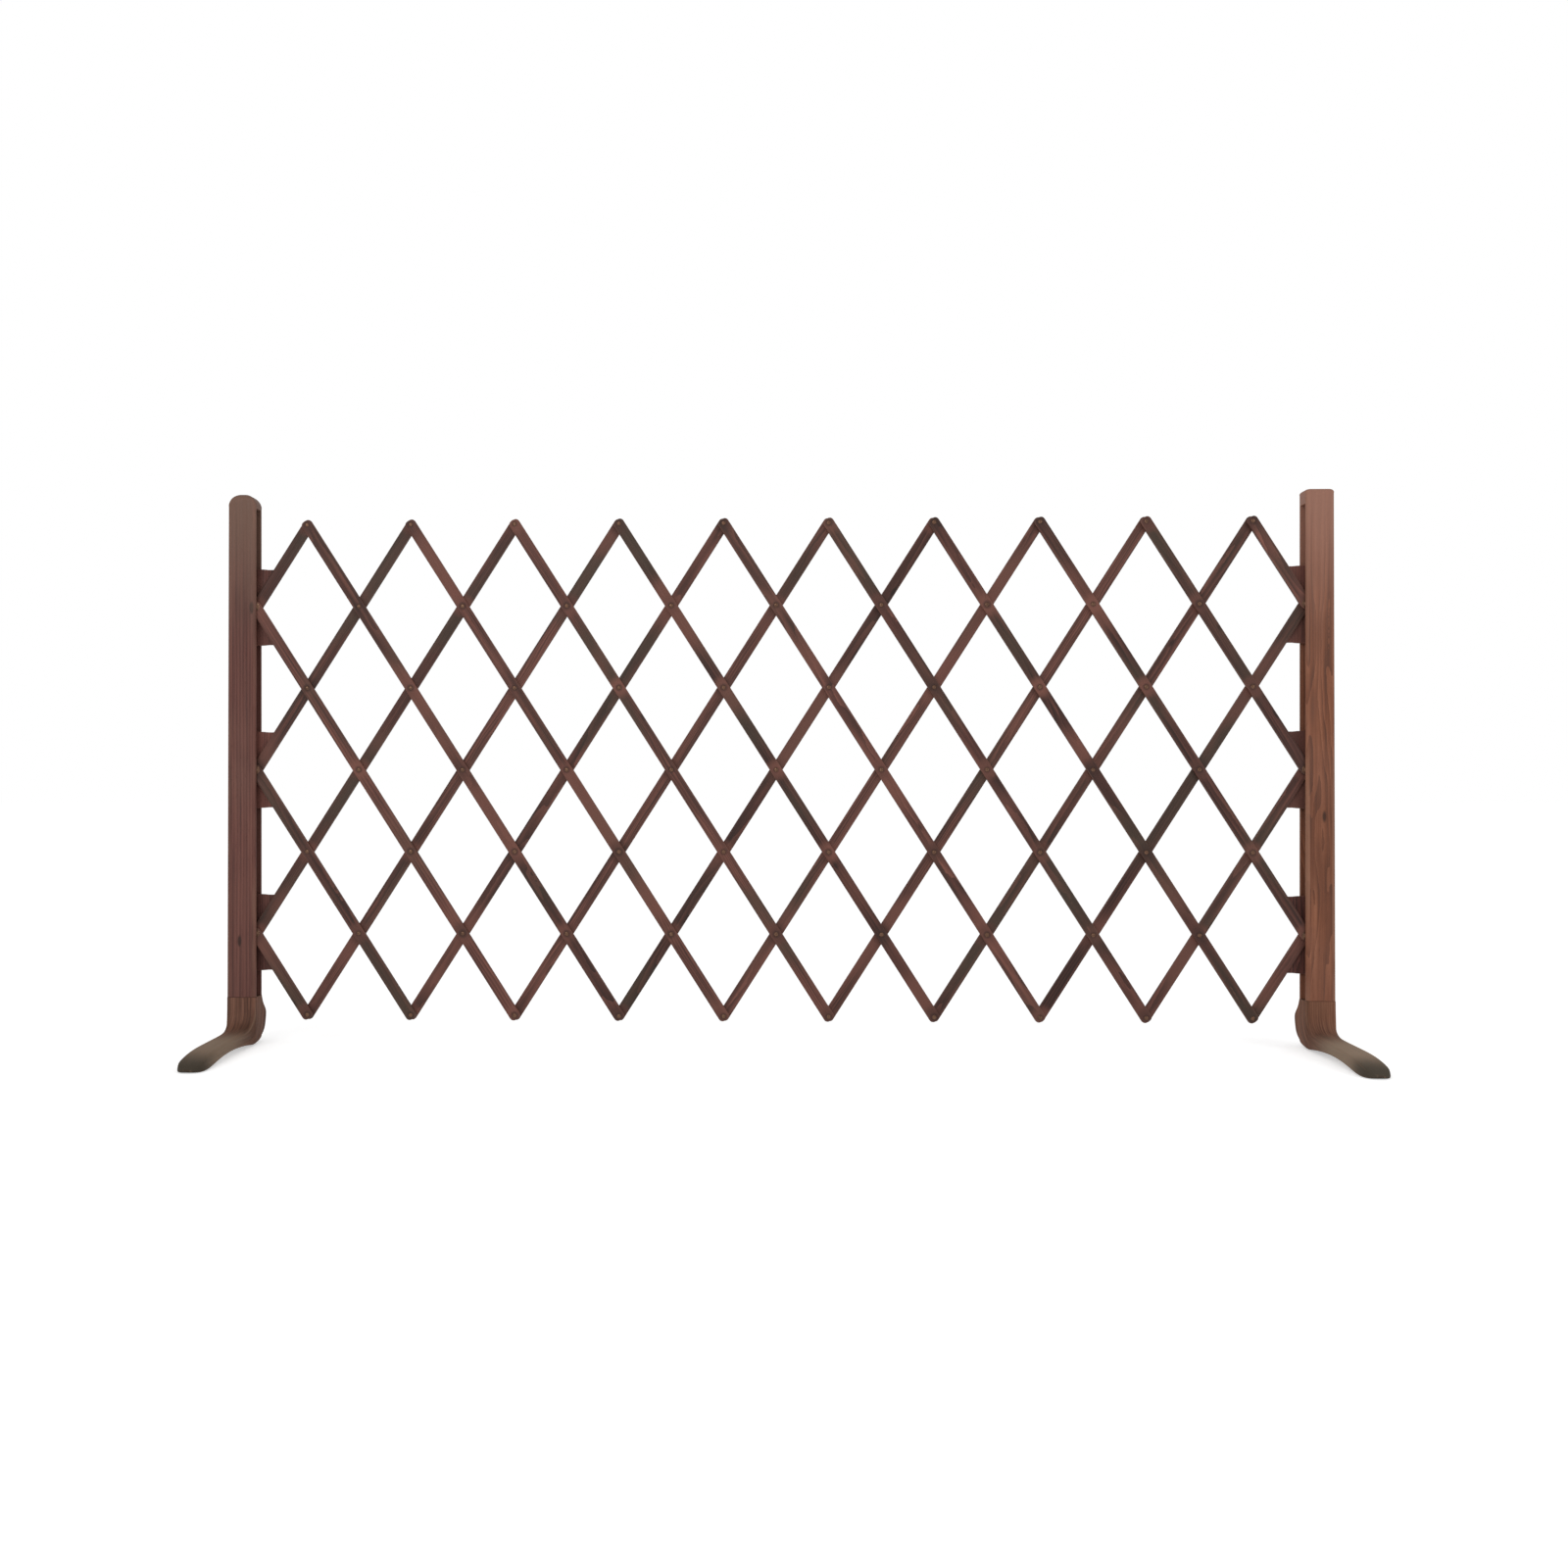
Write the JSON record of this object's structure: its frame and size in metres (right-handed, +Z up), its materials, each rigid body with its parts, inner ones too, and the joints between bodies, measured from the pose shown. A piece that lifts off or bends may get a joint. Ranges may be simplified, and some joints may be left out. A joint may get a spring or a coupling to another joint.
{
  "type": "expanding trellis fence",
  "caption": "Free-standing expanding lattice fence: crossed wooden slats riveted into diamonds, held in grooved posts on boot-shaped feet that reach forward.",
  "frame": {"origin": "on the ground, under the middle of the part", "axes": "+X along the fence to its right end, -Y to the front, where the feet point, +Z up"},
  "size_m": [1.8, 0.318, 0.905],
  "materials": {
    "left_post_wood": "stained and oiled",
    "right_post_wood": "stained and oiled, a little redder",
    "foot_wood": "stained and oiled, with end grain at the toe",
    "front_slat_wood": "dark stain",
    "back_slat_wood": "dark stain",
    "block_wood": "red-brown stain",
    "steel": "bronzed"
  },
  "bodies": {
    "left_post": {"left_post": "left_post_wood", "left_foot": "foot_wood", "left_foot_screw_01": "steel", "left_foot_screw_02": "steel", "left_bottom_block": "block_wood", "left_bottom_pin": "steel", "left_block_screw": "steel"},
    "front_slat_01": {"front_slat_01": "front_slat_wood"},
    "front_slat_02": {"front_slat_02": "front_slat_wood"},
    "front_slat_03": {"front_slat_03": "front_slat_wood"},
    "front_slat_04": {"front_slat_04": "front_slat_wood"},
    "front_slat_05": {"front_slat_05": "front_slat_wood"},
    "front_slat_06": {"front_slat_06": "front_slat_wood"},
    "front_slat_07": {"front_slat_07": "front_slat_wood"},
    "front_slat_08": {"front_slat_08": "front_slat_wood"},
    "front_slat_09": {"front_slat_09": "front_slat_wood"},
    "front_slat_10": {"front_slat_10": "front_slat_wood"},
    "front_slat_11": {"front_slat_11": "front_slat_wood"},
    "front_slat_12": {"front_slat_12": "front_slat_wood"},
    "front_slat_13": {"front_slat_13": "front_slat_wood"},
    "back_slat_01": {"back_slat_01": "back_slat_wood"},
    "back_slat_02": {"back_slat_02": "back_slat_wood"},
    "back_slat_03": {"back_slat_03": "back_slat_wood"},
    "back_slat_04": {"back_slat_04": "back_slat_wood"},
    "back_slat_05": {"back_slat_05": "back_slat_wood"},
    "back_slat_06": {"back_slat_06": "back_slat_wood"},
    "back_slat_07": {"back_slat_07": "back_slat_wood"},
    "back_slat_08": {"back_slat_08": "back_slat_wood"},
    "back_slat_09": {"back_slat_09": "back_slat_wood"},
    "back_slat_10": {"back_slat_10": "back_slat_wood"},
    "back_slat_11": {"back_slat_11": "back_slat_wood"},
    "back_slat_12": {"back_slat_12": "back_slat_wood"},
    "back_slat_13": {"back_slat_13": "back_slat_wood"},
    "right_post": {"right_post": "right_post_wood", "right_foot": "foot_wood", "right_foot_screw_01": "steel", "right_foot_screw_02": "steel", "right_bottom_block": "block_wood", "right_bottom_pin": "steel", "right_block_screw": "steel"},
    "left_top_block": {"left_top_block": "block_wood", "left_top_pin": "steel"},
    "left_middle_block": {"left_middle_block": "block_wood", "left_middle_pin": "steel"},
    "right_top_block": {"right_top_block": "block_wood", "right_top_pin": "steel"},
    "right_middle_block": {"right_middle_block": "block_wood", "right_middle_pin": "steel"}
  },
  "joints": [
    {"name": "fold", "type": "hinge", "parent": "left_post", "child": "back_slat_03", "pos_m": [-0.855, 0.109, 0.185], "axis": [0, 1, 0], "range_deg": [-22.5, 12.5]},
    {"name": "front_slat_01_pivot", "type": "hinge", "parent": "back_slat_03", "child": "front_slat_01", "pos_m": [-0.855, 0.109, 0.185], "axis": [0, 1, 0], "range_deg": [-25, 45]},
    {"name": "front_slat_02_pivot", "type": "hinge", "parent": "back_slat_03", "child": "front_slat_02", "pos_m": [-0.7695, 0.109, 0.319], "axis": [0, 1, 0], "range_deg": [-25, 45]},
    {"name": "front_slat_03_pivot", "type": "hinge", "parent": "back_slat_03", "child": "front_slat_03", "pos_m": [-0.684, 0.109, 0.453], "axis": [0, 1, 0], "range_deg": [-25, 45]},
    {"name": "front_slat_04_pivot", "type": "hinge", "parent": "back_slat_03", "child": "front_slat_04", "pos_m": [-0.5985, 0.109, 0.587], "axis": [0, 1, 0], "range_deg": [-25, 45]},
    {"name": "front_slat_05_pivot", "type": "hinge", "parent": "back_slat_03", "child": "front_slat_05", "pos_m": [-0.513, 0.109, 0.721], "axis": [0, 1, 0], "range_deg": [-25, 45]},
    {"name": "front_slat_06_pivot", "type": "hinge", "parent": "back_slat_03", "child": "front_slat_06", "pos_m": [-0.4275, 0.109, 0.855], "axis": [0, 1, 0], "range_deg": [-25, 45]},
    {"name": "back_slat_04_pivot", "type": "hinge", "parent": "front_slat_06", "child": "back_slat_04", "pos_m": [-0.342, 0.109, 0.721], "axis": [0, 1, 0], "range_deg": [-45, 25]},
    {"name": "back_slat_05_pivot", "type": "hinge", "parent": "front_slat_06", "child": "back_slat_05", "pos_m": [-0.2565, 0.109, 0.587], "axis": [0, 1, 0], "range_deg": [-45, 25]},
    {"name": "back_slat_06_pivot", "type": "hinge", "parent": "front_slat_06", "child": "back_slat_06", "pos_m": [-0.171, 0.109, 0.453], "axis": [0, 1, 0], "range_deg": [-45, 25]},
    {"name": "back_slat_07_pivot", "type": "hinge", "parent": "front_slat_06", "child": "back_slat_07", "pos_m": [-0.0855, 0.109, 0.319], "axis": [0, 1, 0], "range_deg": [-45, 25]},
    {"name": "back_slat_08_pivot", "type": "hinge", "parent": "front_slat_06", "child": "back_slat_08", "pos_m": [0, 0.109, 0.185], "axis": [0, 1, 0], "range_deg": [-45, 25]},
    {"name": "back_slat_09_pivot", "type": "hinge", "parent": "front_slat_06", "child": "back_slat_09", "pos_m": [0.0855, 0.109, 0.051], "axis": [0, 1, 0], "range_deg": [-45, 25]},
    {"name": "front_slat_07_pivot", "type": "hinge", "parent": "back_slat_08", "child": "front_slat_07", "pos_m": [0.0855, 0.109, 0.319], "axis": [0, 1, 0], "range_deg": [-25, 45]},
    {"name": "front_slat_08_pivot", "type": "hinge", "parent": "back_slat_08", "child": "front_slat_08", "pos_m": [0.171, 0.109, 0.453], "axis": [0, 1, 0], "range_deg": [-25, 45]},
    {"name": "front_slat_09_pivot", "type": "hinge", "parent": "back_slat_08", "child": "front_slat_09", "pos_m": [0.2565, 0.109, 0.587], "axis": [0, 1, 0], "range_deg": [-25, 45]},
    {"name": "front_slat_10_pivot", "type": "hinge", "parent": "back_slat_08", "child": "front_slat_10", "pos_m": [0.342, 0.109, 0.721], "axis": [0, 1, 0], "range_deg": [-25, 45]},
    {"name": "front_slat_11_pivot", "type": "hinge", "parent": "back_slat_08", "child": "front_slat_11", "pos_m": [0.4275, 0.109, 0.855], "axis": [0, 1, 0], "range_deg": [-25, 45]},
    {"name": "back_slat_10_pivot", "type": "hinge", "parent": "front_slat_11", "child": "back_slat_10", "pos_m": [0.5985, 0.109, 0.587], "axis": [0, 1, 0], "range_deg": [-45, 25]},
    {"name": "back_slat_11_pivot", "type": "hinge", "parent": "front_slat_11", "child": "back_slat_11", "pos_m": [0.684, 0.109, 0.453], "axis": [0, 1, 0], "range_deg": [-45, 25]},
    {"name": "back_slat_12_pivot", "type": "hinge", "parent": "front_slat_11", "child": "back_slat_12", "pos_m": [0.7695, 0.109, 0.319], "axis": [0, 1, 0], "range_deg": [-45, 25]},
    {"name": "back_slat_13_pivot", "type": "hinge", "parent": "front_slat_11", "child": "back_slat_13", "pos_m": [0.855, 0.109, 0.185], "axis": [0, 1, 0], "range_deg": [-45, 25]},
    {"name": "front_slat_12_pivot", "type": "hinge", "parent": "back_slat_10", "child": "front_slat_12", "pos_m": [0.684, 0.109, 0.721], "axis": [0, 1, 0], "range_deg": [-25, 45]},
    {"name": "front_slat_13_pivot", "type": "hinge", "parent": "back_slat_10", "child": "front_slat_13", "pos_m": [0.7695, 0.109, 0.855], "axis": [0, 1, 0], "range_deg": [-25, 45]},
    {"name": "back_slat_02_pivot", "type": "hinge", "parent": "front_slat_03", "child": "back_slat_02", "pos_m": [-0.7695, 0.109, 0.587], "axis": [0, 1, 0], "range_deg": [-45, 25]},
    {"name": "back_slat_01_pivot", "type": "hinge", "parent": "front_slat_04", "child": "back_slat_01", "pos_m": [-0.7695, 0.109, 0.855], "axis": [0, 1, 0], "range_deg": [-45, 25]},
    {"name": "right_post_pivot", "type": "hinge", "parent": "front_slat_11", "child": "right_post", "pos_m": [0.855, 0.109, 0.185], "axis": [0, 1, 0], "range_deg": [-22.5, 12.5]},
    {"name": "left_middle_block_pivot", "type": "hinge", "parent": "front_slat_02", "child": "left_middle_block", "pos_m": [-0.855, 0.109, 0.453], "axis": [0, 1, 0], "range_deg": [-22.5, 12.5]},
    {"name": "left_top_block_pivot", "type": "hinge", "parent": "front_slat_03", "child": "left_top_block", "pos_m": [-0.855, 0.109, 0.721], "axis": [0, 1, 0], "range_deg": [-22.5, 12.5]},
    {"name": "right_middle_block_pivot", "type": "hinge", "parent": "back_slat_12", "child": "right_middle_block", "pos_m": [0.855, 0.109, 0.453], "axis": [0, 1, 0], "range_deg": [-12.5, 22.5]},
    {"name": "right_top_block_pivot", "type": "hinge", "parent": "back_slat_11", "child": "right_top_block", "pos_m": [0.855, 0.109, 0.721], "axis": [0, 1, 0], "range_deg": [-12.5, 22.5]}
  ],
  "couplings": [
    {"joint": "front_slat_01_pivot", "follows": "fold", "ratio": -2},
    {"joint": "front_slat_02_pivot", "follows": "fold", "ratio": -2},
    {"joint": "front_slat_03_pivot", "follows": "fold", "ratio": -2},
    {"joint": "front_slat_04_pivot", "follows": "fold", "ratio": -2},
    {"joint": "front_slat_05_pivot", "follows": "fold", "ratio": -2},
    {"joint": "front_slat_06_pivot", "follows": "fold", "ratio": -2},
    {"joint": "back_slat_04_pivot", "follows": "fold", "ratio": 2},
    {"joint": "back_slat_05_pivot", "follows": "fold", "ratio": 2},
    {"joint": "back_slat_06_pivot", "follows": "fold", "ratio": 2},
    {"joint": "back_slat_07_pivot", "follows": "fold", "ratio": 2},
    {"joint": "back_slat_08_pivot", "follows": "fold", "ratio": 2},
    {"joint": "back_slat_09_pivot", "follows": "fold", "ratio": 2},
    {"joint": "front_slat_07_pivot", "follows": "fold", "ratio": -2},
    {"joint": "front_slat_08_pivot", "follows": "fold", "ratio": -2},
    {"joint": "front_slat_09_pivot", "follows": "fold", "ratio": -2},
    {"joint": "front_slat_10_pivot", "follows": "fold", "ratio": -2},
    {"joint": "front_slat_11_pivot", "follows": "fold", "ratio": -2},
    {"joint": "back_slat_10_pivot", "follows": "fold", "ratio": 2},
    {"joint": "back_slat_11_pivot", "follows": "fold", "ratio": 2},
    {"joint": "back_slat_12_pivot", "follows": "fold", "ratio": 2},
    {"joint": "back_slat_13_pivot", "follows": "fold", "ratio": 2},
    {"joint": "front_slat_12_pivot", "follows": "fold", "ratio": -2},
    {"joint": "front_slat_13_pivot", "follows": "fold", "ratio": -2},
    {"joint": "back_slat_02_pivot", "follows": "fold", "ratio": 2},
    {"joint": "back_slat_01_pivot", "follows": "fold", "ratio": 2},
    {"joint": "right_post_pivot", "follows": "fold", "ratio": 1},
    {"joint": "left_middle_block_pivot", "follows": "fold", "ratio": 1},
    {"joint": "left_top_block_pivot", "follows": "fold", "ratio": 1},
    {"joint": "right_middle_block_pivot", "follows": "fold", "ratio": -1},
    {"joint": "right_top_block_pivot", "follows": "fold", "ratio": -1}
  ]
}
